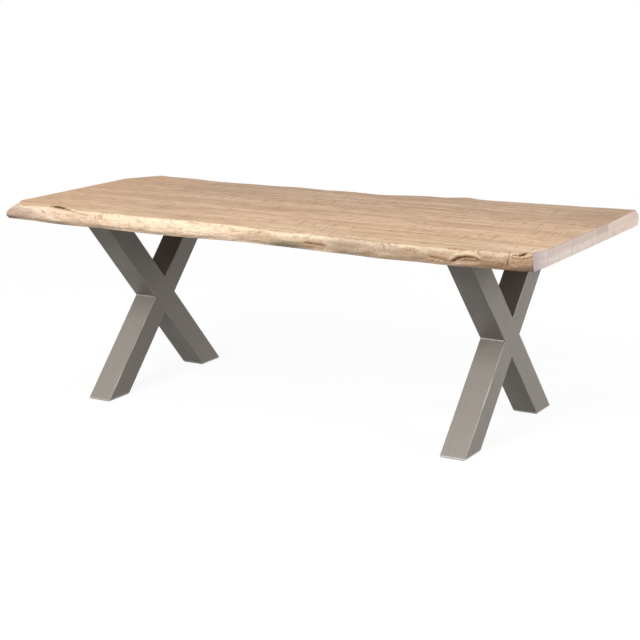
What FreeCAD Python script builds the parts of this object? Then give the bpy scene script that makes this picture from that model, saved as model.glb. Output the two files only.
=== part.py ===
import FreeCAD, Part
import math
import os

import Sketcher

# Live edge dining table: a top glued up from five boards, on two welded X legs of square steel tube.
# The origin is on the floor under the middle of the table. +X runs along the top, +Y to the back, +Z up.

Vector = FreeCAD.Vector
doc = FreeCAD.newDocument("live_edge_dining_table")

# Driving dimensions in millimetres
driving_sizes = {
    "table_height": 780,
    "top_length": 2200,
    "top_thickness": 60,
    "edge_crown": 7,
    "front_board_core": 38,
    "front_wane": 80,
    "front_end_skew": 24,
    "second_board_width": 225,
    "third_board_width": 240,
    "fourth_board_width": 110,
    "back_board_core": 71,
    "back_wane": 150,
    "back_end_skew": 12,
    "leg_end_distance": 330,
    "foot_spacing": 660,
    "tube_size": 100,
    "tube_wall": 3,
    "tube_corner": 4,
    "tube_inner_corner": 2,
    "weld_leg": 5,
    "weld_crown": 0.8,
    "foot_plate_thickness": 4,
    "glide_thickness": 3,
    "glide_inset": 4,
    "top_plate_thickness": 6,
    "top_plate_overhang": 2,
    "bolt_diameter": 8,
    "bolt_length": 25,
    "bolt_head_rim": 2.5,
    "bolt_head_height": 5.3,
    "bolt_edge_distance": 20,
    "bolt_tube_gap": 40,
    "bolt_hole_clearance": 1,
    "slot_travel": 8,
    "washer_rim": 4,
    "washer_thickness": 1.6,
    "washer_clearance": 0.4,
    "insert_wall": 2,
    "insert_length": 20,
    "thread_clearance": 0.2,
    "insert_hole_clearance": 0.2,
    "insert_hole_spare": 2,
}

# Live edges, station by station from the left end to the right: how far along the board, how far the top
# corner stands in from the board's widest line, and how far the bottom corner does, in shares of the wane.
front_edge_shares = (
    (0.0, 1.56, 0.46),
    (0.018, 0.9, 0.46),
    (0.036, 0.39, 0.43),
    (0.055, 0.49, 0.41),
    (0.087, 0.78, 0.29),
    (0.125, 0.91, 0.23),
    (0.165, 0.51, 0.24),
    (0.2, 0.63, 0.28),
    (0.255, 0.53, 0.25),
    (0.33, 0.51, 0.21),
    (0.405, 0.61, 0.31),
    (0.46, 0.55, 0.48),
    (0.495, 0.5, 0.53),
    (0.54, 0.31, 0.44),
    (0.575, 0.14, 0.43),
    (0.625, 0.34, 0.31),
    (0.69, 0.21, 0.21),
    (0.73, 0.14, 0.14),
    (0.765, 0.09, 0.087),
    (0.825, 0.2, 0.18),
    (0.87, 0.21, 0.15),
    (0.9, 0.3, 0.23),
    (0.935, 0.43, 0.33),
    (0.97, 0.6, 0.44),
    (1.0, 0.84, 0.58),
)
back_edge_shares = (
    (0.0, 1.94, 1.84),
    (0.012, 1.6, 1.5),
    (0.03, 1.08, 0.98),
    (0.037, 0.92, 0.82),
    (0.055, 0.93, 0.83),
    (0.087, 0.95, 0.84),
    (0.16, 1.05, 0.94),
    (0.205, 1.09, 0.98),
    (0.25, 1.04, 0.93),
    (0.295, 1.04, 0.93),
    (0.335, 0.96, 0.85),
    (0.38, 0.96, 0.85),
    (0.425, 1.0, 0.89),
    (0.465, 0.94, 0.83),
    (0.51, 0.99, 0.88),
    (0.55, 0.98, 0.87),
    (0.585, 0.77, 0.66),
    (0.62, 0.65, 0.54),
    (0.66, 0.55, 0.44),
    (0.69, 0.33, 0.22),
    (0.71, 0.44, 0.33),
    (0.735, 0.49, 0.38),
    (0.775, 0.45, 0.34),
    (0.81, 0.39, 0.28),
    (0.847, 0.34, 0.23),
    (0.883, 0.28, 0.17),
    (0.92, 0.25, 0.14),
    (0.955, 0.16, 0.08),
    (0.99, 0.11, 0.05),
    (1.0, 0.1, 0.05),
)
# Levels in the top's thickness, evenly spaced, as shares of it. Each has how much of the way from bottom corner
# to top corner the edge has turned in by then, and how much of the edge's crown stands out there.
# Where the top corner overhangs the bottom one, the edge has the same shape upside down.
edge_level_shares = (
    (0.0, 0.0, 0.0),
    (0.25, -0.15, 0.8),
    (0.5, -0.05, 1.0),
    (0.75, 0.4, 0.7),
    (1.0, 1.0, 0.0),
)
# The live edge's right end is cut back fully at the top corner, and by this share of that below
end_corner_share = 0.2
front_deepest_share = max(top for station, top, bottom in front_edge_shares)
back_deepest_share = max(top for station, top, bottom in back_edge_shares)

# Sizes and places that follow from the driving dimensions
derived_sizes = {
    "front_board_width": f"{front_deepest_share} * Sizes.front_wane + Sizes.front_board_core",
    "back_board_width": f"{back_deepest_share} * Sizes.back_wane + Sizes.back_board_core",
    "inner_width": "Sizes.second_board_width + Sizes.third_board_width + Sizes.fourth_board_width",
    "top_width": "front_board_width + inner_width + back_board_width",
    "top_underside": "Sizes.table_height - Sizes.top_thickness",
    "first_joint": "front_board_width - top_width / 2",
    "second_joint": "first_joint + Sizes.second_board_width",
    "third_joint": "second_joint + Sizes.third_board_width",
    "fourth_joint": "third_joint + Sizes.fourth_board_width",
    "leg_place": "Sizes.top_length / 2 - Sizes.leg_end_distance",
    "tube_bottom": "Sizes.glide_thickness + Sizes.foot_plate_thickness",
    "tube_top": "top_underside - Sizes.top_plate_thickness",
    "tube_rise": "tube_top - tube_bottom",
    "crossing_height": "(tube_top + tube_bottom) / 2",
    "lean_slope": "Sizes.foot_spacing / tube_rise",
    "lean": "atan(lean_slope)",
    "cut_width": "Sizes.tube_size / cos(lean)",
    "cut_height": "Sizes.tube_size / sin(lean)",
    "bar_length": "(tube_rise + 2 * Sizes.tube_size) / cos(lean)",
    "leg_reach": "Sizes.foot_spacing + 2 * cut_width",
    "inner_tube_size": "Sizes.tube_size - 2 * Sizes.tube_wall",
    "glide_place": "lean_slope * (crossing_height - Sizes.glide_thickness)",
    "bolt_row": "Sizes.tube_size / 2 - Sizes.bolt_edge_distance",
    "bolt_pitch": "(Sizes.foot_spacing - cut_width) / 2 - Sizes.bolt_tube_gap",
    "bolt_seat": "tube_top - Sizes.washer_thickness",
    "bolt_hole": "Sizes.bolt_diameter + Sizes.bolt_hole_clearance",
    "bolt_head_width": "Sizes.bolt_diameter + 2 * Sizes.bolt_head_rim",
    "bolt_reach": "Sizes.bolt_length - Sizes.washer_thickness - Sizes.top_plate_thickness",
    "washer_diameter": "Sizes.bolt_diameter + 2 * Sizes.washer_rim",
    "insert_diameter": "Sizes.bolt_diameter + 2 * Sizes.insert_wall",
    "insert_hole": "insert_diameter + Sizes.insert_hole_clearance",
    "insert_hole_depth": "max(Sizes.insert_length; bolt_reach) + Sizes.insert_hole_spare",
}


def fill_sheet(name, cells):
    """A spreadsheet with one named cell for each entry."""
    sheet = doc.addObject("Spreadsheet::Sheet", name)
    for row, (alias, content) in enumerate(cells.items(), start=1):
        sheet.set(f"A{row}", alias)
        sheet.set(f"B{row}", content)
        sheet.setAlias(f"B{row}", alias)
    doc.recompute()
    return sheet


sizes = fill_sheet("Sizes", {alias: str(number) for alias, number in driving_sizes.items()})
places = fill_sheet("Places", {alias: f"={formula}" for alias, formula in derived_sizes.items()})


def size(alias):
    """The number in the cell of this name, on whichever sheet holds it."""
    sheet = sizes if alias in driving_sizes else places
    return float(sheet.get(alias))


def block(name, extents, corner):
    """A box with formulas for its length, width and height and for its low corner."""
    item = doc.addObject("Part::Box", name)
    for side, formula in zip(("Length", "Width", "Height"), extents):
        item.setExpression(side, formula)
    for axis, formula in zip("xyz", corner):
        item.setExpression(f"Placement.Base.{axis}", formula)
    return item


def rod(name, diameter, height):
    """An upright cylinder on the origin with formulas for its diameter and height."""
    item = doc.addObject("Part::Cylinder", name)
    item.setExpression("Radius", f"({diameter}) / 2")
    item.setExpression("Height", height)
    return item


def combine(kind, name, base, tool):
    """A Cut or a Common of two objects."""
    item = doc.addObject(f"Part::{kind}", name)
    item.Base = base
    item.Tool = tool
    return item


def flat_sketch(body, name):
    """A sketch on the body's own XY plane."""
    plane = next(item for item in body.Origin.OriginFeatures if item.Role == "XY_Plane")
    sketch = body.newObject("Sketcher::SketchObject", name)
    sketch.AttachmentSupport = [(plane, "")]
    sketch.MapMode = "FlatFace"
    return sketch


def join_ends(sketch, first, count):
    """Join consecutive curves of the sketch end to start, round to the first one again."""
    for step in range(count):
        here = first + step
        following = first + (step + 1) % count
        sketch.addConstraint(Sketcher.Constraint("Coincident", here, 2, following, 1))


def draw_loop(sketch, corners):
    """A closed loop of straight lines; gives the number of its first line."""
    first = sketch.GeometryCount
    for start, end in zip(corners, corners[1:] + corners[:1]):
        sketch.addGeometry(Part.LineSegment(start, end), False)
    join_ends(sketch, first, len(corners))
    return first


def draw_rectangle(sketch, width, depth):
    """A rectangle centred on the sketch's origin, with formulas for its sides."""
    unit_corners = [Vector(-1, -1), Vector(1, -1), Vector(1, 1), Vector(-1, 1)]
    bottom = draw_loop(sketch, unit_corners)
    right, top, left = bottom + 1, bottom + 2, bottom + 3
    for line, direction in ((bottom, "Horizontal"), (right, "Vertical"), (top, "Horizontal"), (left, "Vertical")):
        sketch.addConstraint(Sketcher.Constraint(direction, line))
    sketch.addConstraint(Sketcher.Constraint("Symmetric", bottom, 1, top, 1, -1, 1))
    for label, kind, line, formula in (("width", "DistanceX", bottom, width), ("depth", "DistanceY", right, depth)):
        number = sketch.addConstraint(Sketcher.Constraint(kind, line, 1, line, 2, 1))
        sketch.renameConstraint(number, label)
        sketch.setExpression(f"Constraints.{label}", formula)


def pad_sketch(body, sketch, name, length):
    """A pad of the sketch, upwards, with a formula for its length."""
    pad = body.newObject("PartDesign::Pad", name)
    pad.Profile = sketch
    pad.setExpression("Length", length)
    return pad


# The top: two live edge boards with three sawn boards between them


def edge_point(station, inset, side, run):
    """A point of a live edge, side being -1 for the front edge and 1 for the back one."""
    across = size("top_width") / 2 - inset
    return Vector(run * station - size("top_length") / 2, side * across)


def live_edge_board(name, shares, side, wane, joint, skew):
    """A board lofted through its outlines at several heights, the live edge a curve and the glue edge straight."""
    body = doc.addObject("PartDesign::Body", name)
    half_length = size("top_length") / 2
    glue_left = Vector(-half_length, size(joint))
    glue_right = Vector(half_length, size(joint))
    outlines = []
    level_pairs = zip(edge_level_shares, reversed(edge_level_shares))
    for number, (level, mirrored_level) in enumerate(level_pairs, start=1):
        height, turned_in, crowned = level
        turned_out = 1 - mirrored_level[1]
        sketch = flat_sketch(body, f"{name}_outline_{number}")
        sketch.setExpression("AttachmentOffset.Base.z", f"Places.top_underside + {height} * Sizes.top_thickness")
        run = size("top_length") - size(skew) * max(turned_in, end_corner_share)
        points = []
        for station, top, bottom in shares:
            turned = turned_in if top > bottom else turned_out
            inset = (bottom + (top - bottom) * turned) * size(wane) - crowned * size("edge_crown")
            points.append(edge_point(station, inset, side, run))
        edge = Part.BSplineCurve()
        edge.interpolate(Points=points, Parameters=[station for station, top, bottom in shares])
        edge.reverse()
        curves = [
            Part.LineSegment(glue_left, glue_right),
            Part.LineSegment(glue_right, points[-1]),
            edge,
            Part.LineSegment(points[0], glue_left),
        ]
        for curve in curves:
            sketch.addGeometry(curve, False)
        join_ends(sketch, 0, len(curves))
        outlines.append(sketch)
    loft = body.newObject("PartDesign::AdditiveLoft", f"{name}_loft")
    loft.Profile = outlines[0]
    loft.Sections = outlines[1:]
    loft.Ruled = True
    return body


def sawn_board(name, width, joint):
    """A plain board as long and as thick as the top."""
    extents = ("Sizes.top_length", f"Sizes.{width}", "Sizes.top_thickness")
    return block(name, extents, ("-Sizes.top_length / 2", f"Places.{joint}", "Places.top_underside"))


board_blanks = {
    "front_live_edge_board": live_edge_board(
        "front_board_blank", front_edge_shares, -1, "front_wane", "first_joint", "front_end_skew"
    ),
    "second_board": sawn_board("second_board_blank", "second_board_width", "first_joint"),
    "third_board": sawn_board("third_board_blank", "third_board_width", "second_joint"),
    "fourth_board": sawn_board("fourth_board_blank", "fourth_board_width", "third_joint"),
    "back_live_edge_board": live_edge_board(
        "back_board_blank", back_edge_shares, 1, "back_wane", "fourth_joint", "back_end_skew"
    ),
}

# The legs: two leaning tubes each, one whole and one in two halves that butt against it

leg_sides = {"left": -1, "right": 1}


def leaning_bar(name, side, corner, leg_x, turn):
    """A long square bar through the X's crossing, leaning to the front with turn 1 and to the back with -1."""
    body = doc.addObject("PartDesign::Body", name)
    sketch = flat_sketch(body, f"{name}_section")
    draw_rectangle(sketch, side, side)
    pad = pad_sketch(body, sketch, f"{name}_run", "Places.bar_length")
    pad.SideType = "Symmetric"
    doc.recompute()
    long_edges = []
    for number, edge in enumerate(pad.Shape.Edges, start=1):
        if round(abs(edge.tangentAt(edge.FirstParameter).z)):
            long_edges.append(f"Edge{number}")
    rounding = body.newObject("PartDesign::Fillet", f"{name}_corners")
    rounding.Base = (pad, long_edges)
    rounding.setExpression("Radius", corner)
    body.Placement = FreeCAD.Placement(Vector(0, 0, 0), FreeCAD.Rotation(Vector(turn, 0, 0), 1))
    body.setExpression("Placement.Rotation.Angle", "Places.lean")
    body.setExpression("Placement.Base.x", leg_x)
    body.setExpression("Placement.Base.z", "Places.crossing_height")
    return body


def level_block(name, bottom, top):
    """A block that takes in both legs between two heights, to trim them with."""
    extents = ("2 * (Places.leg_place + Sizes.tube_size)", "Places.leg_reach", f"{top} - {bottom}")
    corner = ("-Places.leg_place - Sizes.tube_size", "-Places.leg_reach / 2", bottom)
    return block(name, extents, corner)


tube_level = level_block("tube_level", "Places.tube_bottom", "Places.tube_top")
lower_level = level_block("lower_level", "Places.tube_bottom", "Places.crossing_height")
upper_level = level_block("upper_level", "Places.crossing_height", "Places.tube_top")
foot_plate_level = level_block("foot_plate_level", "Sizes.glide_thickness", "Places.tube_bottom")


def leg_tubes(side, leg_x):
    """The tubes and foot plates of one X leg, as named nodes."""
    bars = {}
    for run, turn in (("through", 1), ("crossing", -1)):
        outside = leaning_bar(f"{side}_{run}_outside", "Sizes.tube_size", "Sizes.tube_corner", leg_x, turn)
        inside = leaning_bar(
            f"{side}_{run}_inside", "Places.inner_tube_size", "Sizes.tube_inner_corner", leg_x, turn
        )
        bars[run] = outside
        bars[f"{run}_hollow"] = combine("Cut", f"{side}_{run}_hollow", outside, inside)
    butted = combine("Cut", f"{side}_butted_tube", bars["crossing_hollow"], bars["through"])
    return [
        combine("Common", f"{side}_through_tube", bars["through_hollow"], tube_level),
        combine("Common", f"{side}_upper_half_tube", butted, upper_level),
        combine("Common", f"{side}_lower_half_tube", butted, lower_level),
        combine("Common", f"{side}_front_foot_plate", bars["crossing"], foot_plate_level),
        combine("Common", f"{side}_back_foot_plate", bars["through"], foot_plate_level),
    ]


def foot_glides(side, leg_x):
    """The thin pads under the two feet of one leg, a little inside the foot plates' edges."""
    length = "Sizes.tube_size - 2 * Sizes.glide_inset"
    width = "Places.cut_width - 2 * Sizes.glide_inset"
    glides = []
    for end, sign in (("front", "-"), ("back", "")):
        corner = (f"{leg_x} - ({length}) / 2", f"{sign}Places.glide_place - ({width}) / 2", "0")
        glides.append(block(f"{side}_{end}_foot_glide", (length, width, "Sizes.glide_thickness"), corner))
    return glides


def crossing_welds(side, sign):
    """The weld beads in the four crotches of one X, each a crowned fillet along the flat of the tubes."""
    lean = math.atan(size("lean_slope"))
    up_front = Vector(0, -math.sin(lean), math.cos(lean))
    up_back = Vector(0, math.sin(lean), math.cos(lean))
    out = Vector(0, size("cut_width") / 2, 0)
    up = Vector(0, 0, size("cut_height") / 2)
    crotches = (
        (-out, up_front, -up_back),
        (out, up_back, -up_front),
        (up, up_front, up_back),
        (-up, -up_front, -up_back),
    )
    flat = size("tube_size") - 2 * size("tube_corner")
    middle = Vector(sign * size("leg_place") - flat / 2, 0, size("crossing_height"))
    beads = []
    for place, first_face, second_face in crotches:
        corner = middle + place
        toe = corner + first_face * size("weld_leg")
        other_toe = corner + second_face * size("weld_leg")
        outwards = (first_face + second_face).normalize()
        crown = (toe + other_toe) / 2 + outwards * size("weld_crown")
        edges = [
            Part.LineSegment(corner, toe).toShape(),
            Part.Arc(toe, crown, other_toe).toShape(),
            Part.LineSegment(other_toe, corner).toShape(),
        ]
        beads.append(Part.Face(Part.Wire(edges)).extrude(Vector(flat, 0, 0)))
    item = doc.addObject("Part::Feature", f"{side}_crossing_welds")
    item.Shape = Part.makeCompound(beads)
    return item


def draw_slot(sketch, middle, diameter, travel):
    """A slot along Y, or a round hole where it has no travel."""
    radius = diameter / 2
    if not travel:
        sketch.addGeometry(Part.Circle(middle, Vector(0, 0, 1), radius), False)
        return
    first = sketch.GeometryCount
    ahead = Vector(0, travel / 2)
    beside = Vector(radius, 0)
    upper = Part.Circle(middle + ahead, Vector(0, 0, 1), radius)
    lower = Part.Circle(middle - ahead, Vector(0, 0, 1), radius)
    curves = [
        Part.ArcOfCircle(upper, 0, math.pi),
        Part.LineSegment(middle + ahead - beside, middle - ahead - beside),
        Part.ArcOfCircle(lower, math.pi, 2 * math.pi),
        Part.LineSegment(middle - ahead + beside, middle + ahead + beside),
    ]
    for curve in curves:
        sketch.addGeometry(curve, False)
    join_ends(sketch, first, len(curves))


# Bolts stand in two rows along each top plate: round holes in the middle, slots towards its ends
# so that the boards can swell and shrink across their width.
bolt_rows = (-1, 1)
bolt_stations = (-1, 0, 1)


def top_plate(side, leg_x):
    """The flat plate on the tube tops of one leg, as wide as the tube, with its bolt holes."""
    body = doc.addObject("PartDesign::Body", f"{side}_top_plate")
    sketch = flat_sketch(body, f"{side}_top_plate_outline")
    length = "Sizes.foot_spacing + Places.cut_width + 2 * Sizes.top_plate_overhang"
    draw_rectangle(sketch, "Sizes.tube_size", length)
    for row in bolt_rows:
        for station in bolt_stations:
            middle = Vector(row * size("bolt_row"), station * size("bolt_pitch"))
            draw_slot(sketch, middle, size("bolt_hole"), abs(station) * size("slot_travel"))
    pad_sketch(body, sketch, f"{side}_top_plate_pad", "Sizes.top_plate_thickness")
    body.setExpression("Placement.Base.x", leg_x)
    body.setExpression("Placement.Base.z", "Places.tube_top")
    return body


# Fasteners, each modelled once on the origin and copied to its places


def bolt_model():
    """A hexagon head bolt, its head under the origin and its shank up from there."""
    body = doc.addObject("PartDesign::Body", "bolt_model")
    head_sketch = flat_sketch(body, "bolt_head_outline")
    corner_radius = size("bolt_head_width") / math.sqrt(3)
    corners = []
    for number in range(6):
        angle = number * math.pi / 3
        corners.append(Vector(corner_radius * math.cos(angle), corner_radius * math.sin(angle)))
    draw_loop(head_sketch, corners)
    head = pad_sketch(body, head_sketch, "bolt_head", "Sizes.bolt_head_height")
    head.Reversed = True
    doc.recompute()
    shank_sketch = flat_sketch(body, "bolt_shank_outline")
    shank_sketch.addGeometry(Part.Circle(Vector(0, 0, 0), Vector(0, 0, 1), size("bolt_diameter") / 2), False)
    pad_sketch(body, shank_sketch, "bolt_shank", "Sizes.bolt_length")
    return body


def ring_model(name, outer, inner, height):
    """A plain ring on the origin with formulas for its diameters and height."""
    outside = rod(f"{name}_outside", outer, height)
    inside = rod(f"{name}_inside", inner, height)
    return combine("Cut", name, outside, inside)


def bolt_places(sign, height):
    """The bolts' places on one leg, at a height."""
    spots = []
    for row in bolt_rows:
        for station in bolt_stations:
            along = sign * size("leg_place") + row * size("bolt_row")
            spots.append(Vector(along, station * size("bolt_pitch"), height))
    return spots


def copies(name, model, spots):
    """One group of separate copies of a model."""
    solids = []
    for spot in spots:
        solid = model.Shape.copy()
        solid.translate(spot)
        solids.append(solid)
    item = doc.addObject("Part::Feature", name)
    item.Shape = Part.makeCompound(solids)
    return item


bolt = bolt_model()
washer = ring_model(
    "washer_model",
    "Places.washer_diameter",
    "Sizes.bolt_diameter + Sizes.washer_clearance",
    "Sizes.washer_thickness",
)
insert = ring_model(
    "insert_model",
    "Places.insert_diameter",
    "Sizes.bolt_diameter + Sizes.thread_clearance",
    "Sizes.insert_length",
)
insert_hole = rod("insert_hole_model", "Places.insert_hole", "Places.insert_hole_depth")
doc.recompute()

nodes = []
hole_spots = []
for side, sign in leg_sides.items():
    leg_x = f"{sign} * Places.leg_place"
    underside_spots = bolt_places(sign, size("top_underside"))
    hole_spots += underside_spots
    nodes += leg_tubes(side, leg_x)
    nodes += foot_glides(side, leg_x)
    nodes.append(crossing_welds(side, sign))
    nodes.append(top_plate(side, leg_x))
    nodes.append(copies(f"{side}_bolts", bolt, bolt_places(sign, size("bolt_seat"))))
    nodes.append(copies(f"{side}_washers", washer, bolt_places(sign, size("bolt_seat"))))
    nodes.append(copies(f"{side}_threaded_inserts", insert, underside_spots))

insert_holes = copies("insert_holes", insert_hole, hole_spots)
for name, blank in board_blanks.items():
    nodes.append(combine("Cut", name, blank, insert_holes))
doc.recompute()

for item in doc.Objects:
    if {"Invalid", "Error"} & set(item.State):
        raise RuntimeError(f"{item.Label} did not build: {item.State}")
for node in nodes:
    if node.Shape.isNull() or not node.Shape.isValid() or not node.Shape.Solids:
        raise RuntimeError(f"{node.Label} has no valid solid")

os.makedirs("parts", exist_ok=True)
for node in nodes:
    node.Shape.exportStep(f"parts/{node.Label}.step")
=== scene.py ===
import math

import bmesh
import bpy
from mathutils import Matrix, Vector


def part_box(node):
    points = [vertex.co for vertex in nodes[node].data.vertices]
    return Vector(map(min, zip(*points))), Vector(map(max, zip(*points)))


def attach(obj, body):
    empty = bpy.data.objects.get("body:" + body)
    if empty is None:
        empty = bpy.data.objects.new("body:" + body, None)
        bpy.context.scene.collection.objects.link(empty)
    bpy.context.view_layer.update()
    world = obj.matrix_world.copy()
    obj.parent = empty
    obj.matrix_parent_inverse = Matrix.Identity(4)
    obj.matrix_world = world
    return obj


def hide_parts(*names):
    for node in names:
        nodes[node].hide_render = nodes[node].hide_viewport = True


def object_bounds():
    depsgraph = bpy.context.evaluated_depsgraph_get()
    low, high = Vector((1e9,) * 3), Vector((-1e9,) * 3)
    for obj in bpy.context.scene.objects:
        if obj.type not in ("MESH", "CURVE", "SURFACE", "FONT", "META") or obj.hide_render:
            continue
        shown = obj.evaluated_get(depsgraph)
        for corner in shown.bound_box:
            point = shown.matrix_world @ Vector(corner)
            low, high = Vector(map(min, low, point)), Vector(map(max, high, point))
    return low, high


# Live edge dining table: five glued boards of rough-sawn hardwood on two welded X legs of satin
# steel tube. Metres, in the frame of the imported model: +X along the top, +Y to the back, +Z up,
# the floor at zero.

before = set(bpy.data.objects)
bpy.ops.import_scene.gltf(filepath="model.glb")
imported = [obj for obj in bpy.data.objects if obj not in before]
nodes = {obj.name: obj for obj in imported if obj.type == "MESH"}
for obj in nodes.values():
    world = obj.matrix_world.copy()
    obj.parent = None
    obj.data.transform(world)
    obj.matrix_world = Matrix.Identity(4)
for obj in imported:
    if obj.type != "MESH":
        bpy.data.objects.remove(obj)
cad_low, cad_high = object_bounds()
bpy.ops.object.select_all(action="DESELECT")
millimetre = 0.001


# Colour and nodes


def linear(colour):
    """An sRGB hex colour as linear red, green, blue and alpha."""
    channels = [int(colour[start : start + 2], 16) / 255 for start in (1, 3, 5)]
    return [c / 12.92 if c <= 0.04045 else ((c + 0.055) / 1.055) ** 2.4 for c in channels] + [1.0]


def set_inputs(node, inputs):
    """Set a node's inputs to values, or link them to sockets."""
    for key, value in inputs.items():
        if isinstance(value, bpy.types.NodeSocket):
            node.id_data.links.new(value, node.inputs[key])
        else:
            node.inputs[key].default_value = value


def add_node(tree, kind, inputs, output=0, **settings):
    """Add a node with its settings and inputs, and give one of its outputs."""
    node = tree.nodes.new(f"ShaderNode{kind}")
    for key, value in settings.items():
        setattr(node, key, value)
    set_inputs(node, inputs)
    return node.outputs[output]


def new_material(name):
    """A material, its node tree, its shader and the Object coordinates that its patterns read."""
    material = bpy.data.materials.new(name)
    material.use_nodes = True
    tree = material.node_tree
    return material, tree, tree.nodes["Principled BSDF"], add_node(tree, "TexCoord", {}, "Object")


def lay_marks(tree, place, marks, start=(0, 0, 0)):
    """Soft random marks by name.

    Each has its lengths in millimetres along X, Y and Z, its detail and its turn.
    """
    laid = {}
    for name, (lengths, detail, turn) in marks.items():
        size = [length * millimetre for length in lengths]
        spot = {"Vector": place, "Location": start, "Rotation": turn, "Scale": size}
        spread = add_node(tree, "Mapping", spot, vector_type="TEXTURE")
        laid[name] = add_node(tree, "TexNoise", {"Vector": spread, "Scale": 1.0, "Detail": detail})
    return laid


def lay_tones(tree, ground, layers):
    """Tones over a ground colour.

    Each comes in as its pattern goes from low to high, up to its cover.
    """
    colour = ground
    for pattern, low, high, cover, tone in layers:
        rise = {"Value": pattern, "From Min": low, "From Max": high, "To Max": cover}
        share = add_node(tree, "MapRange", rise, interpolation_type="SMOOTHSTEP")
        colour = add_node(tree, "Mix", {0: share, 6: colour, 7: linear(tone)}, 2, data_type="RGBA")
    return colour


# Wood

straight = (0, 0, 0)
saw_lean = (0, 0, math.radians(8))

# Where along the top its tones start to change, up to the left end and to the right end.
left_tone_from = -550 * millimetre
right_tone_from = 750 * millimetre

# How far under the rim the live edge is lightened as a painted highlight and has its dark line, and
# how ragged the dark marks of bark and painted shade end.
rim_highlight_depth = 24 * millimetre
rim_line = 5 * millimetre
bark_and_shade_ragged = 0.7

# End grain: how wide the rings lie, how far under the rim the duller part starts and is at its
# full and how much it wanders, how far from the front joint it turns lilac-grey toward the front,
# and the glue line's width.
ring_spread = 50 * millimetre
dull_start = 22 * millimetre
dull_full = 9 * millimetre
dull_wander = 30 * millimetre
front_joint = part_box("front_live_edge_board")[1].y
lilac_front_width = 110 * millimetre
glue_seen = 4 * millimetre
glue_full = 1 * millimetre


def sawn_hardwood(board, light, dark, right_end, start, sawn):
    """Rough-sawn hardwood under matt oil.

    Long soft streaks, fine fibre and short dark pores run along the board, the pores drawn
    coarser than real ones so that they show. In patches, faint saw marks lie across it. It is
    warmer toward the left end and takes another tone toward the right one.
    """
    material, tree, surface, place = new_material(f"{board}_sawn_hardwood")
    marks = {
        "bands": ((1500, 60, 200), 3.0, straight),
        "streaks": ((420, 14, 80), 4.0, straight),
        "fibre": ((110, 7, 20), 3.0, straight),
        "pores": ((46, 6, 20), 1.0, straight),
        "strokes": ((11, 170, 60), 1.0, saw_lean),
        "patches": ((420, 170, 60), 2.0, straight),
    }
    laid = lay_marks(tree, place, marks, start)
    stroke = {"Value": laid["strokes"], "From Min": 0.56, "From Max": 0.7}
    stroke_share = add_node(tree, "MapRange", stroke, interpolation_type="SMOOTHSTEP")
    patch = {"Value": laid["patches"], "From Min": 0.42, "From Max": 0.58}
    patch_share = add_node(tree, "MapRange", patch, interpolation_type="SMOOTHSTEP")
    saw_marks = add_node(tree, "Math", {0: stroke_share, 1: patch_share}, operation="MULTIPLY")
    along = add_node(tree, "SeparateXYZ", {0: place})
    layers = (
        (laid["bands"], 0.32, 0.68, 1.0, dark),
        (along, left_tone_from, cad_low.x, 0.4, "#d3a478"),
        (along, right_tone_from, cad_high.x, 0.6, right_end),
        (laid["streaks"], 0.48, 0.72, 0.66, "#a58462"),
        (laid["streaks"], 0.5, 0.3, 0.45, "#e8cbad"),
        (laid["fibre"], 0.48, 0.68, 0.55, "#97775a"),
        (laid["fibre"], 0.46, 0.3, 0.35, "#ecd2b4"),
        (laid["pores"], 0.57, 0.68, 0.5, "#80624a"),
        (saw_marks, 0.0, 1.0, sawn, "#84664a"),
    )
    colour = lay_tones(tree, linear(light), layers)
    relief = add_node(tree, "Math", {0: laid["fibre"], 1: saw_marks}, operation="SUBTRACT")
    rough = {"Height": relief, "Strength": 0.3, "Distance": 0.8 * millimetre}
    matt_oil = {"Roughness": 0.62, "Specular IOR Level": 0.3, "Normal": add_node(tree, "Bump", rough)}
    set_inputs(surface, {"Base Color": colour} | matt_oil)
    return material


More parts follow.
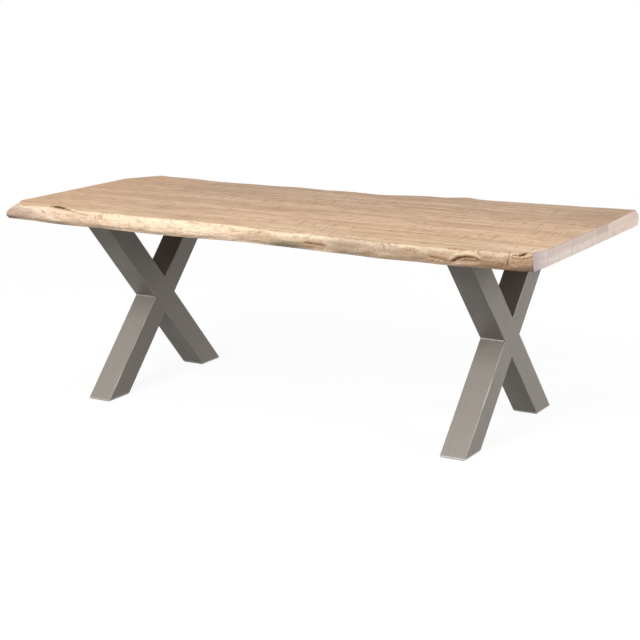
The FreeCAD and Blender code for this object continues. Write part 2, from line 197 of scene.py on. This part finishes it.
def live_edge_sapwood(board, tones):
    """The debarked edge of the log.

    Pale sapwood turns browner along the board, mottled where the bark clung, dark in its cracks
    and pits, partly from bark and partly as painted shade, with a painted shadow under the scar's
    lip and painted highlights on raised lips. It is lightened as a painted highlight near the top,
    under a thin dark line along the rim.
    """
    material, tree, surface, place = new_material(f"{board}_live_edge_sapwood")
    marks = {
        "clouds": ((120, 60, 26), 4.0, straight),
        "mottle": ((40, 40, 11), 4.0, straight),
        "specks": ((9, 9, 5), 1.0, straight),
        "grit": ((16, 16, 6), 4.0, straight),
        "shreds": ((7, 7, 13), 3.0, straight),
        "fibre": ((60, 8, 3), 2.0, straight),
    }
    laid = lay_marks(tree, place, marks)
    spot = add_node(tree, "SeparateXYZ", {0: place}).node.outputs
    station = {"Value": spot["X"], "From Min": cad_low.x, "From Max": cad_high.x}
    ground = add_node(tree, "ValToRGB", {"Fac": add_node(tree, "MapRange", station)})
    stops = ground.node.color_ramp.elements
    stops[0].color = linear(tones[0][1])
    stops[1].color = linear(tones[-1][1])
    for x, tone in tones[1:-1]:
        share = (x * millimetre - cad_low.x) / (cad_high.x - cad_low.x)
        stops.new(share).color = linear(tone)
    bark_and_painted_light = add_node(tree, "Attribute", {}, "Fac", attribute_name="bark_and_painted_light")
    shredded = {0: laid["shreds"], 1: 2 * bark_and_shade_ragged, 2: -bark_and_shade_ragged}
    shreds = add_node(tree, "Math", shredded, operation="MULTIPLY_ADD")
    ragged_bark_and_shade = add_node(tree, "Math", {0: bark_and_painted_light, 1: shreds}, operation="ADD")
    layers = (
        (laid["clouds"], 0.48, 0.7, 0.36, "#b08a67"),
        (laid["clouds"], 0.5, 0.3, 0.45, "#fbe9cd"),
        # Painted highlight: the live face is lightened under the rim, where the rounded arris catches
        # light.
        (spot["Z"], cad_high.z - rim_highlight_depth, cad_high.z - rim_line, 0.45, "#fde9cb"),
        (laid["mottle"], 0.5, 0.72, 0.42, "#a5805f"),
        (laid["grit"], 0.5, 0.7, 0.4, "#9c7a5c"),
        (laid["grit"], 0.46, 0.3, 0.16, "#fbe9d0"),
        (laid["fibre"], 0.5, 0.75, 0.25, "#9d7b5d"),
        (laid["specks"], 0.66, 0.76, 0.45, "#74533a"),
        (spot["Z"], cad_high.z - rim_line, cad_high.z - rim_line / 2, 0.6, "#a67d5a"),
        # Painted highlight on the raised lips, where the attribute is below zero.
        (bark_and_painted_light, -0.1, -0.8, 0.7, "#f0d5b5"),
        # Bark and stains, with painted shade in cracks and pits and a painted shadow under the scar's
        # lip.
        (ragged_bark_and_shade, 0.12, 0.5, 0.65, "#93683f"),
        (ragged_bark_and_shade, 0.5, 0.9, 0.94, "#2b1d15"),
    )
    colour = lay_tones(tree, ground, layers)
    relief = add_node(tree, "Math", {0: laid["mottle"], 1: laid["fibre"]}, operation="ADD")
    rough = {"Height": relief, "Strength": 0.6, "Distance": 1.5 * millimetre}
    corner_highlight = {"Roughness": 0.58, "Specular IOR Level": 0.35, "Normal": add_node(tree, "Bump", rough)}
    set_inputs(surface, {"Base Color": colour} | corner_highlight)
    return material


def end_grain(board, node, pale, deep, pith):
    """Crosscut end grain, sanded.

    Growth rings are faint arcs about the pith, a little rosy, with fine pores. The upper half is
    duller, under a brown line along the rim, and toward the front it turns lilac-grey. A line of glue
    lies along each joint, drawn wider than the real one so that it shows.
    """
    material, tree, surface, place = new_material(f"{board}_end_grain")
    marks = {
        "blotches": ((60, 55, 22), 3.0, straight),
        "pores": ((2.5, 2.5, 2.5), 1.0, straight),
        "saw_lines": ((60, 8, 90), 2.0, straight),
    }
    laid = lay_marks(tree, place, marks)
    low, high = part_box(node)
    spot = add_node(tree, "SeparateXYZ", {0: place}).node.outputs
    middle = (low.y + high.y) / 2
    off_middle = add_node(tree, "Math", {0: spot["Y"], 1: middle}, operation="SUBTRACT")
    from_middle = add_node(tree, "Math", {0: off_middle}, operation="ABSOLUTE")
    joint = (high.y - low.y) / 2
    centre = {"Vector": place, "Location": (0, *pith), "Scale": [ring_spread] * 3}
    ring_place = add_node(tree, "Mapping", centre, vector_type="TEXTURE")
    ring = {"Vector": ring_place, "Scale": 2.0, "Distortion": 3.0, "Detail": 2.0, "Detail Scale": 1.5}
    rings = add_node(tree, "TexWave", ring, "Fac", wave_type="RINGS", rings_direction="X")
    wandering = {0: laid["blotches"], 1: dull_wander, 2: spot["Z"]}
    dull = add_node(tree, "Math", wandering, operation="MULTIPLY_ADD")
    layers = (
        (rings, 0.0, 1.0, 0.35, deep),
        (laid["blotches"], 0.45, 0.7, 0.5, "#fdf0e4"),
        (laid["blotches"], 0.48, 0.3, 0.35, deep),
        (dull, high.z - dull_start, high.z - dull_full, 0.75, deep),
        (laid["saw_lines"], 0.5, 0.74, 0.16, "#b39a8e"),
        (laid["pores"], 0.58, 0.78, 0.25, "#a1897e"),
        # Lilac-grey toward the front of the table.
        (spot["Y"], front_joint, front_joint - lilac_front_width, 0.6, "#a59aa2"),
        (from_middle, joint - glue_seen, joint - glue_full, 0.4, "#a79ba0"),
        (spot["Z"], high.z - rim_line, high.z - rim_line / 2, 0.6, "#a48b79"),
    )
    colour = lay_tones(tree, linear(pale), layers)
    porous = {"Height": laid["pores"], "Strength": 0.2, "Distance": 0.6 * millimetre}
    sanded = {"Roughness": 0.55, "Specular IOR Level": 0.4, "Normal": add_node(tree, "Bump", porous)}
    set_inputs(surface, {"Base Color": colour} | sanded)
    return material


# Boards

# How near counts as touching, and how far out the live face starts before it is draped.
slip = 0.1 * millimetre
stand_off = 50 * millimetre
end_arris = 2.5 * millimetre
top_arris = 1.5 * millimetre
glue_line = 0.5 * millimetre
insert_radius = 6 * millimetre
insert_hole_depth = 22 * millimetre
hole_sides = 48
sharp = math.radians(40)
in_line = 0.99

# Which faces are end grain, by their place and normal, and which are live, by their normal.
end_zone = 30 * millimetre
end_facing = 0.65
live_facing = 0.15

# The live face: its grid, how often it is smoothed, and its relief as how many times longer it is
# along the board, its spacing and its depth.
live_columns = 660
live_rows = 24
smoothings = 6
live_relief = (
    ("flutes", 7.0, 22 * millimetre, 4 * millimetre),
    ("lumps", 1.6, 60 * millimetre, 7 * millimetre),
)

# The depth that blemishes are measured by where a face has none, the strips behind the live face
# as shares of the width that is left, and the axes by their number.
shallowest = 0.1 * millimetre
strips = (1.0, 0.7, 0.4, 0.15, 0.0)
along_y, along_z = 1, 2


def pick(piece):
    """Select this piece alone and make it the active one."""
    bpy.ops.object.select_all(action="DESELECT")
    piece.select_set(True)
    bpy.context.view_layer.objects.active = piece


def in_edit_mode(piece):
    """Open this piece alone in edit mode."""
    pick(piece)
    bpy.ops.object.mode_set(mode="EDIT")


def select_edges(piece, wanted):
    """Select exactly the edges for which wanted(edge) holds."""
    bpy.ops.mesh.select_mode(type="EDGE")
    bpy.ops.mesh.select_all(action="DESELECT")
    mesh = bmesh.from_edit_mesh(piece.data)
    for edge in mesh.edges:
        edge.select_set(wanted(edge))
    bmesh.update_edit_mesh(piece.data)


def lies_at(edge, axis, spot):
    """True if both of an edge's corners lie at this spot along an axis."""
    return all(abs(corner.co[axis] - spot) < slip for corner in edge.verts)


def runs_along(edge, axis):
    """True if a straight edge lies along an axis."""
    run = edge.verts[1].co - edge.verts[0].co
    return abs(run[axis]) > in_line * run.length


def insert_spots(low, high):
    """Where the threaded inserts lie along X and Y under a board with these corners."""
    spots = []
    for leg in ("left", "right"):
        first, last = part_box(f"{leg}_threaded_inserts")
        rows = (first.y + insert_radius, (first.y + last.y) / 2, last.y - insert_radius)
        for x in (first.x + insert_radius, last.x - insert_radius):
            spots += [(x, y) for y in rows if low.y < y < high.y]
    return spots


def drill_insert_holes(piece, node):
    """Drill the blind holes of the threaded inserts that lie under this board."""
    low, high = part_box(node)
    for x, y in insert_spots(low, high):
        bpy.ops.object.select_all(action="DESELECT")
        bpy.ops.mesh.primitive_cylinder_add(
            vertices=hole_sides,
            radius=insert_radius + slip,
            depth=2 * insert_hole_depth,
            location=(x, y, low.z),
        )
        drill = bpy.context.object
        bpy.context.view_layer.objects.active = piece
        hole = piece.modifiers.new("insert_hole", "BOOLEAN")
        hole.operation = "DIFFERENCE"
        hole.object = drill
        bpy.ops.object.modifier_apply(modifier=hole.name)
        bpy.data.objects.remove(drill)


def finish_board(piece, node, materials):
    """Give a board's faces their wood, drill and smooth it, and let it stand for the CAD board."""
    for material in materials:
        piece.data.materials.append(material)
    sawn, end, live = range(3)
    low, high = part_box(node)
    for face in piece.data.polygons:
        at_end = min(face.center.x - low.x, high.x - face.center.x) < end_zone
        if at_end and abs(face.normal.x) > end_facing:
            face.material_index = end
        elif len(materials) > live and abs(face.normal.y) > live_facing:
            face.material_index = live
        else:
            face.material_index = sawn
    drill_insert_holes(piece, node)
    pick(piece)
    bpy.ops.object.shade_smooth_by_angle(angle=sharp)
    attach(piece, "root")
    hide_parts(node)


def sawn_board(name, node, materials):
    """A straight board with eased ends and a fine chamfer along its glue lines."""
    low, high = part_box(node)
    bpy.ops.object.select_all(action="DESELECT")
    bpy.ops.mesh.primitive_cube_add(size=1, location=(low + high) / 2)
    piece = bpy.context.object
    piece.name = name
    piece.scale = high - low
    bpy.ops.object.transform_apply(location=True, rotation=False, scale=True)
    in_edit_mode(piece)
    select_edges(piece, lambda edge: runs_along(edge, along_y))
    bpy.ops.mesh.bevel(offset=end_arris, segments=3, affect="EDGES")
    select_edges(piece, lambda edge: not runs_along(edge, along_y) and edge.calc_face_angle(0) > sharp)
    bpy.ops.mesh.bevel(offset=glue_line, segments=1, affect="EDGES")
    bpy.ops.object.mode_set(mode="OBJECT")
    finish_board(piece, node, materials)


def end_cut_share(height):
    """The share of a live edge's end skew at a height, from 0 at the bottom to 1 at the top.

    It is a fifth up to the middle, two fifths at three quarters and the whole at the top.
    """
    return max(0.2, 0.8 * height - 0.2, 2.4 * height - 1.4)


def reach_share(x, z, start, end, width):
    """How much of a blemish from start to end reaches a point of the live face.

    It is 1 on the blemish's line and 0 beyond its width.
    """
    line = Vector(end) - Vector(start)
    offset = Vector((x, z)) - Vector(start)
    way = min(max(offset.dot(line) / line.length_squared, 0), 1)
    share = max(0, 1 - (offset - line * way).length / width)
    return share * share * (3 - 2 * share)


def carve_blemishes(piece, side, blemishes):
    """Press cracks and pits into the live face, raise its lips, and note in it where bark stuck, with
    painted shade in cracks and pits, a painted shadow under the scar's lip and painted highlights on
    raised lips.
    """
    bark_and_painted_light_shares = [0.0] * len(piece.data.vertices)
    for label, sign in (("hollows", 1), ("lips", -1)):
        depths = [sign * depth * millimetre for start, end, width, depth, dark in blemishes]
        deepest = max(shallowest, *depths)
        group = piece.vertex_groups.new(name=label)
        for vertex in piece.data.vertices:
            x, z = vertex.co.x / millimetre, vertex.co.z / millimetre
            pressed = 0.0
            for start, end, width, depth, dark in blemishes:
                if abs(x - start[0]) > width + abs(end[0] - start[0]):
                    continue
                share = reach_share(x, z, start, end, width)
                pressed = max(pressed, share * sign * depth * millimetre / deepest)
                if abs(share * dark) > abs(bark_and_painted_light_shares[vertex.index]):
                    bark_and_painted_light_shares[vertex.index] = share * dark
            if pressed > 0:
                group.add([vertex.index], pressed, "REPLACE")
        press = piece.modifiers.new(label, "DISPLACE")
        press.direction = "Y"
        press.mid_level = 0
        press.strength = -side * sign * deepest
        press.vertex_group = label
        bpy.ops.object.modifier_apply(modifier=press.name)
    piece.vertex_groups.clear()
    bark_and_painted_light = piece.data.attributes.new("bark_and_painted_light", "FLOAT", "POINT")
    bark_and_painted_light.data.foreach_set("value", bark_and_painted_light_shares)


def live_face(name, node, side, end_skew):
    """A fine grid with a skewed right end, draped on the CAD board's live face.

    It comes with each row's height and share of the board's length.
    """
    low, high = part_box(node)
    outermost = max(abs(low.y), abs(high.y))
    left, bottom, top = low.x + slip, low.z + slip, high.z - slip
    length, thickness = high.x - slip - left, top - bottom
    bpy.ops.object.select_all(action="DESELECT")
    bpy.ops.mesh.primitive_grid_add(x_subdivisions=live_columns, y_subdivisions=live_rows, size=1)
    piece = bpy.context.object
    piece.name = name
    piece.scale = (length, thickness, 1)
    piece.rotation_euler = (math.pi / 2, 0, 0)
    piece.location = (left + length / 2, side * (outermost + stand_off), (bottom + top) / 2)
    bpy.ops.object.transform_apply(location=True, rotation=True, scale=True)

    in_edit_mode(piece)
    runs = {}
    for row in range(live_rows + 1):
        level = bottom + thickness * row / live_rows
        runs[level] = 1 - (end_skew * end_cut_share(row / live_rows) + slip) / length
        select_edges(piece, lambda edge: lies_at(edge, along_z, level))
        bpy.ops.transform.resize(value=(runs[level], 1, 1), center_override=(left, 0, 0))
    bpy.ops.object.mode_set(mode="OBJECT")
    drape = piece.modifiers.new("drape", "SHRINKWRAP")
    drape.target = nodes[node]
    drape.wrap_method = "PROJECT"
    drape.use_project_y = True
    drape.use_positive_direction = side < 0
    drape.use_negative_direction = side > 0
    bpy.ops.object.modifier_apply(modifier=drape.name)
    if any(abs(vertex.co.y) > outermost + slip for vertex in piece.data.vertices):
        raise RuntimeError(f"part of {name} missed the board")
    return piece, runs


def roughen_live_face(piece, side):
    """Smooth the draped face and give it the flutes and lumps of debarked wood."""
    in_edit_mode(piece)
    bpy.ops.mesh.select_all(action="SELECT")
    bpy.ops.mesh.vertices_smooth(factor=0.5, repeat=smoothings, xaxis=False, yaxis=True, zaxis=False)
    bpy.ops.object.mode_set(mode="OBJECT")
    for label, grain, spacing, depth in live_relief:
        texture = bpy.data.textures.new(label, "CLOUDS")
        texture.noise_scale = spacing
        texture.noise_depth = 2
        grain_frame = bpy.data.objects.new(f"{label}_grain", None)
        bpy.context.scene.collection.objects.link(grain_frame)
        grain_frame.scale = (grain, 1, 1)
        bpy.context.view_layer.update()
        relief = piece.modifiers.new(label, "DISPLACE")
        relief.texture = texture
        relief.texture_coords = "OBJECT"
        relief.texture_coords_object = grain_frame
        relief.direction = "Y"
        relief.mid_level = 0
        relief.strength = -side * depth
        bpy.ops.object.modifier_apply(modifier=relief.name)
        bpy.data.objects.remove(grain_frame)


def close_board(piece, node, side, runs):
    """Build the board behind its live face: top and underside, glue face, ends and eased rims."""
    low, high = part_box(node)
    left = low.x + slip
    glue = high.y if side < 0 else low.y
    rims = (min(runs), max(runs))
    in_edit_mode(piece)
    for level in rims:
        select_edges(piece, lambda edge: edge.is_boundary and lies_at(edge, along_z, level))
        reach = {strip: runs[level] + (1 - runs[level]) * (1 - strip) for strip in strips}
        for before, after in zip(strips, strips[1:]):
            stretch = (reach[after] / reach[before], after / before, 1)
            bpy.ops.mesh.extrude_region_move()
            bpy.ops.transform.resize(value=stretch, center_override=(left, glue, 0))
    select_edges(piece, lambda edge: edge.is_boundary and lies_at(edge, along_y, glue))
    bpy.ops.mesh.bridge_edge_loops()
    for toward in (-1, 1):
        select_edges(
            piece,
            lambda edge: edge.is_boundary and all(corner.co.x * toward > 0 for corner in edge.verts),
        )
        bpy.ops.mesh.edge_face_add()
    bpy.ops.mesh.select_all(action="SELECT")
    bpy.ops.mesh.normals_make_consistent(inside=False)
    select_edges(
        piece,
        lambda edge: edge.calc_face_angle(0) > sharp
        and not lies_at(edge, along_y, glue)
        and any(lies_at(edge, along_z, level) for level in rims),
    )
    bpy.ops.mesh.bevel(offset=top_arris, segments=2, affect="EDGES")
    bpy.ops.object.mode_set(mode="OBJECT")


def live_edge_board(name, node, side, end_skew, blemishes, materials):
    """A board with a live edge, side being -1 for the front board and 1 for the back one."""
    piece, runs = live_face(name, node, side, end_skew)
    roughen_live_face(piece, side)
    carve_blemishes(piece, side, blemishes)
    close_board(piece, node, side, runs)
    finish_board(piece, node, materials)


# Blemishes of the live faces, in millimetres: from where to where along X and Z, how wide to each
# side, how deep and how dark with bark and painted shade. A raised lip is less than nothing deep,
# and one painted pale as a highlight is less than nothing dark.
front_blemishes = (
    ((-908, 778), (-892, 777), 4, 5, 0.9),
    ((-892, 777), (-866, 775), 6, 9, 1.0),
    ((-866, 775), (-845, 774), 5, 7, 1.0),
    ((-845, 774), (-800, 771), 4, 4, 0.75),
    ((-800, 771), (-750, 768), 3, 2, 0.6),
    ((-750, 768), (-704, 764), 3, 2, 0.7),
    ((-928, 761), (-920, 760), 6, 4, 0.55),
    ((-682, 755), (-632, 759), 18, 2, 0.3),
    ((252, 747), (324, 743), 11, 2, 0.64),
    ((258, 734), (316, 732), 10, 0, 0.3),
    ((451, 748), (498, 734), 16, 0, 0.28),
    ((559, 774), (566, 754), 9, 1, 0.38),
    ((650, 766), (691, 757), 14, 0, 0.28),
    ((732, 745), (796, 738), 10, 2, 0.42),
    ((740, 730), (748, 731), 4, 2, 0.8),
    ((798, 776), (905, 773), 3, 2, 0.5),
    # The scar's raised lips, painted pale as a highlight.
    ((812, 743), (831, 760), 12, -4, -0.5),
    ((831, 760), (860, 767), 12, -5, -0.55),
    ((860, 767), (889, 766), 12, -5, -0.55),
    ((889, 766), (914, 756), 11, -4, -0.45),
    # The scar's hollow floor, a little darker.
    ((832, 739), (904, 742), 12, 7, 0.12),
    # Painted shadow under the scar's lip.
    ((821, 737), (843, 748), 7, 9, 0.64),
    ((843, 748), (867, 753), 7, 9, 0.66),
    ((867, 753), (889, 753), 6, 8, 0.62),
    ((889, 753), (910, 748), 6, 6, 0.55),
    ((906, 769), (911, 766), 5, 3, 0.62),
    ((930, 756), (950, 754), 8, 2, 0.42),
    # A small raised lip, painted pale as a highlight.
    ((968, 764), (990, 766), 9, -1, -0.5),
    ((958, 743), (996, 738), 10, 1, 0.4),
    ((1009, 733), (1008, 779), 4, 3, 0.6),
    ((1020, 770), (1042, 772), 4, 2, 0.75),
    ((1042, 770), (1056, 773), 6, 6, 1.0),
    ((1056, 773), (1061, 778), 5, 4, 1.0),
    ((1020, 763), (1052, 761), 5, 1, 0.6),
    ((1052, 761), (1084, 768), 5, 1, 0.72),
    ((1024, 748), (1078, 749), 7, 1, 0.4),
)
back_blemishes = (
    ((-640, 774), (-560, 771), 6, 6, 0.9),
    ((-300, 748), (-240, 745), 12, 4, 0.4),
    ((60, 765), (72, 763), 6, 5, 0.85),
    ((390, 742), (440, 746), 14, 5, 0.42),
    ((760, 772), (850, 770), 5, 5, 0.8),
)

# Tones of the live faces, with where they lie along X in millimetres.
front_tones = (
    (-1100, "#b1988a"),
    (-1040, "#c6ad9b"),
    (-970, "#ddc1ab"),
    (-840, "#e3c8af"),
    (-655, "#dbbea1"),
    (-580, "#eed0b2"),
    (-250, "#f1d6b9"),
    (-60, "#f6d8ba"),
    (110, "#f3d8b7"),
    (260, "#cdb196"),
    (420, "#b79f89"),
    (720, "#c8ab8f"),
    (930, "#a8886d"),
    (1060, "#a8896d"),
    # The last tone darkens the live face toward the right end's corner as painted shade.
    (1100, "#8f7463"),
)
back_tones = (
    (-1100, "#c9ab90"),
    (-500, "#dcc0a2"),
    (100, "#e6ccae"),
    (600, "#cfb093"),
    (1100, "#bf9e82"),
)
front_wood = (
    sawn_hardwood("front_board", "#d5b696", "#c6a484", "#ead0b6", (0.3, 0.1, 0), sawn=0.25),
    end_grain("front_board", "front_live_edge_board", "#f3e0d9", "#dccac4", (-0.43, 0.70)),
    live_edge_sapwood("front_board", front_tones),
)
back_wood = (
    sawn_hardwood("back_board", "#c2a387", "#ad8e72", "#94745c", (0.9, 0.6, 0), sawn=0.35),
    end_grain("back_board", "back_live_edge_board", "#f8e1d0", "#e2c9b9", (0.36, 0.60)),
    live_edge_sapwood("back_board", back_tones),
)
front_skew = 24 * millimetre
back_skew = 12 * millimetre
live_edge_board(
    "front_live_edge_wood", "front_live_edge_board", -1, front_skew, front_blemishes, front_wood
)
live_edge_board(
    "back_live_edge_wood", "back_live_edge_board", 1, back_skew, back_blemishes, back_wood
)

# Inner boards: the light, dark and right end tones of the sawn faces and where their pattern
# starts, then the pale and deep tones of the end grain and the pith's place along Y and Z.
inner_boards = {
    "second_board": (
        ("#d4b293", "#c39f7f", "#d3b192", (0.1, 0.25, 0)),
        ("#fff0e5", "#dfc6b9", (-0.27, 0.68)),
    ),
    "third_board": (
        ("#cdac8e", "#b99678", "#c4a283", (0.5, 0.42, 0)),
        ("#ffeee3", "#d9c0b3", (-0.03, 0.82)),
    ),
    "fourth_board": (
        ("#c6a588", "#b18f73", "#a5866e", (0.7, 0.85, 0)),
        ("#fae4d6", "#c9b0a2", (0.14, 0.66)),
    ),
}
for board, (face_looks, end_looks) in inner_boards.items():
    face_wood = sawn_hardwood(board, *face_looks, sawn=0.5)
    end_wood = end_grain(board, board, *end_looks)
    sawn_board(f"{board}_wood", board, (face_wood, end_wood))


# Steel

# The left leg's through tube gives where the tubes cross, their half width and how far they lean.
# Then come how patchy the painted highlight along the corners is, and where that starts and is at its
# full.
tube_low, tube_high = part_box("left_through_tube")
crossing = (tube_low + tube_high) / 2
half_tube = (tube_high.x - tube_low.x) / 2
foot_spacing = 660 * millimetre
leg_lean = math.atan2(foot_spacing, tube_high.z - tube_low.z)
highlight_spread = 8 * millimetre
highlight_start = 1 * millimetre
highlight_full = 4 * millimetre


def brushed_steel(name, colour, lean):
    """Square steel tube brushed along its length and clear lacquered.

    A warm satin grey with faint long lines, and a painted highlight in places along the rounded
    corners.
    """
    material, tree, surface, place = new_material(name)
    turn = (lean, 0, 0)
    marks = {"lines": ((3, 3, 260), 3.0, turn), "haze": ((120, 120, 160), 3.0, straight)}
    laid = lay_marks(tree, place, marks)
    middle = {"Vector": place, "Location": (0, crossing.y, crossing.z), "Rotation": turn}
    in_tube = add_node(tree, "Mapping", middle, vector_type="TEXTURE")
    section = add_node(tree, "SeparateXYZ", {0: in_tube}).node.outputs
    from_table = add_node(tree, "Math", {0: section["X"]}, operation="ABSOLUTE")
    from_leg = add_node(tree, "Math", {0: from_table, 1: abs(crossing.x)}, operation="SUBTRACT")
    sideways = add_node(tree, "Math", {0: from_leg}, operation="ABSOLUTE")
    across = add_node(tree, "Math", {0: section["Y"]}, operation="ABSOLUTE")
    corner = add_node(tree, "Math", {0: sideways, 1: across}, operation="MINIMUM")
    patchy = {0: laid["haze"], 1: highlight_spread, 2: corner}
    corner_highlight = add_node(tree, "Math", patchy, operation="MULTIPLY_ADD")
    layers = (
        (laid["lines"], 0.3, 0.7, 0.22, "#7c756e"),
        # Painted highlight along the tube's rounded corners.
        (corner_highlight, half_tube + highlight_start, half_tube + highlight_full, 0.6, "#dcd6cf"),
    )
    shade = lay_tones(tree, linear(colour), layers)
    satin = {"Value": laid["haze"], "From Min": 0.3, "From Max": 0.7, "To Min": 0.44, "To Max": 0.54}
    roughness = add_node(tree, "MapRange", satin)
    brushed = {"Height": laid["lines"], "Strength": 0.08, "Distance": 0.4 * millimetre}
    bump = add_node(tree, "Bump", brushed)
    lacquer = {"Metallic": 0.15, "Specular IOR Level": 0.25, "Roughness": roughness}
    set_inputs(surface, {"Base Color": shade, "Normal": bump} | lacquer)
    return material


def fine_finish(name, colour, other, metallic, roughness, grit):
    """A fine-grained finish: two close tones in specks as large as the grit, with a matching relief.

    The grit is in millimetres.
    """
    material, tree, surface, place = new_material(name)
    specks = lay_marks(tree, place, {"specks": ((grit, grit, grit), 3.0, straight)})["specks"]
    shade = lay_tones(tree, linear(colour), ((specks, 0.3, 0.7, 1.0, other),))
    gritty = {"Height": specks, "Strength": 0.2, "Distance": 0.4 * millimetre}
    gloss = {"Metallic": metallic, "Roughness": roughness, "Normal": add_node(tree, "Bump", gritty)}
    set_inputs(surface, {"Base Color": shade} | gloss)
    return material


through_steel = brushed_steel("brushed_steel_through_tube", "#958e86", leg_lean)
crossing_steel = brushed_steel("brushed_steel_crossing_tube", "#958e86", -leg_lean)
foot_plate_steel = fine_finish("ground_steel_foot_plate", "#b5afa8", "#a39c95", 0.6, 0.4, 4)
glide_rubber = fine_finish("black_rubber_glides", "#1d1c1b", "#262422", 0.0, 0.8, 2)
plated_steel = fine_finish("zinc_plated_fasteners", "#b9bcbf", "#a3a6aa", 1.0, 0.35, 3)
leg_finishes = {
    "through_tube": through_steel,
    "upper_half_tube": crossing_steel,
    "lower_half_tube": crossing_steel,
    "front_foot_plate": foot_plate_steel,
    "back_foot_plate": foot_plate_steel,
    "front_foot_glide": glide_rubber,
    "back_foot_glide": glide_rubber,
    "crossing_welds": fine_finish("ground_weld_bead", "#a59f98", "#8b847d", 0.5, 0.4, 5),
    "top_plate": fine_finish("mill_steel_top_plate", "#6f6963", "#5f5a55", 1.0, 0.5, 12),
    "bolts": plated_steel,
    "washers": plated_steel,
    "threaded_inserts": fine_finish("brass_inserts", "#b8924a", "#a27f3d", 1.0, 0.3, 3),
}
for leg in ("left", "right"):
    for piece, finish in leg_finishes.items():
        mesh = nodes[f"{leg}_{piece}"].data
        mesh.materials.clear()
        mesh.materials.append(finish)


# Studio: a pale floor that keeps the shadow, a white surround, soft light and the camera

# The floor's side, its glow, and the distances over which it fades into the white.
floor_size = 60
floor_glow = 0.91
fade_start = 2.5
fade_end = 5.5
table_middle = Vector((0, 0, 0.7))


def seen_directly(tree):
    """1 for what the camera sees, also mirrored or through glass, and 0 for light on things."""
    rays = add_node(tree, "LightPath", {}).node.outputs
    straight_or_mirrored = {0: rays["Is Camera Ray"], 1: rays["Is Glossy Ray"]}
    seen = add_node(tree, "Math", straight_or_mirrored, operation="MAXIMUM")
    return add_node(tree, "Math", {0: seen, 1: rays["Is Transmission Ray"]}, operation="MAXIMUM")


bpy.ops.object.select_all(action="DESELECT")
bpy.ops.mesh.primitive_plane_add(size=floor_size, location=(0, 0, 0))
floor = bpy.context.object
floor.name = "studio_floor"
floor_material, tree, surface, place = new_material("pale_studio_floor")
glow = add_node(tree, "Math", {0: seen_directly(tree), 1: floor_glow}, operation="MULTIPLY")
set_inputs(
    surface,
    {
        "Base Color": linear("#5c5b5a"),
        "Roughness": 0.9,
        "Specular IOR Level": 0.0,
        "Emission Color": (1, 1, 1, 1),
        "Emission Strength": glow,
    },
)
distance = add_node(tree, "VectorMath", {0: place}, "Value", operation="LENGTH")
fade = {"Value": distance, "From Min": fade_start, "From Max": fade_end}
faded = add_node(tree, "MapRange", fade, interpolation_type="SMOOTHSTEP")
from_below = add_node(tree, "NewGeometry", {}, "Backfacing")
gone = add_node(tree, "Math", {0: faded, 1: from_below}, operation="MAXIMUM")
into_white = {0: gone, 1: surface.outputs[0], 2: add_node(tree, "BsdfTransparent", {})}
set_inputs(tree.nodes["Material Output"], {"Surface": add_node(tree, "MixShader", into_white)})
floor.data.materials.append(floor_material)

world = bpy.data.worlds.new("white_studio")
bpy.context.scene.world = world
world.use_nodes = True
tree = world.node_tree
upwards = add_node(tree, "SeparateXYZ", {0: add_node(tree, "TexCoord", {}, "Generated")}, "Z")
ceiling_light = add_node(tree, "MapRange", {"Value": upwards, "To Min": 0.17, "To Max": 0.56})
white_or_light = {"Value": seen_directly(tree), "To Min": ceiling_light, "To Max": 1.0}
strength = add_node(tree, "MapRange", white_or_light)
set_inputs(tree.nodes["Background"], {"Color": (1, 1, 1, 1), "Strength": strength})


def soft_box(name, place, width, power):
    """A large square lamp at a place, turned to face the table."""
    lamp = bpy.data.lights.new(name, "AREA")
    lamp.size = width
    lamp.energy = power
    holder = bpy.data.objects.new(name, lamp)
    bpy.context.scene.collection.objects.link(holder)
    holder.location = place
    holder.rotation_euler = (table_middle - Vector(place)).to_track_quat("-Z", "Y").to_euler()


soft_box("front_soft_box", (-0.6, -5.3, 4.2), 3.0, 370)
soft_box("right_soft_box", (6.0, 0.4, 2.5), 2.5, 142)
soft_box("back_soft_box", (3.0, 5.0, 3.0), 3.0, 75)

# The camera's lens, place and turn are fitted to the corners of the legs and the top.
camera_data = bpy.data.cameras.new("photo_camera")
camera = bpy.data.objects.new("photo_camera", camera_data)
bpy.context.scene.collection.objects.link(camera)
bpy.context.scene.camera = camera
camera_data.sensor_width = 36
camera_data.lens = 91.05
camera.location = (3.03303, -5.36252, 1.76913)
yaw, pitch = 0.5133, 0.229
camera.rotation_euler = (math.pi / 2 - pitch, 0, yaw)
bpy.context.scene.view_settings.view_transform = "Standard"
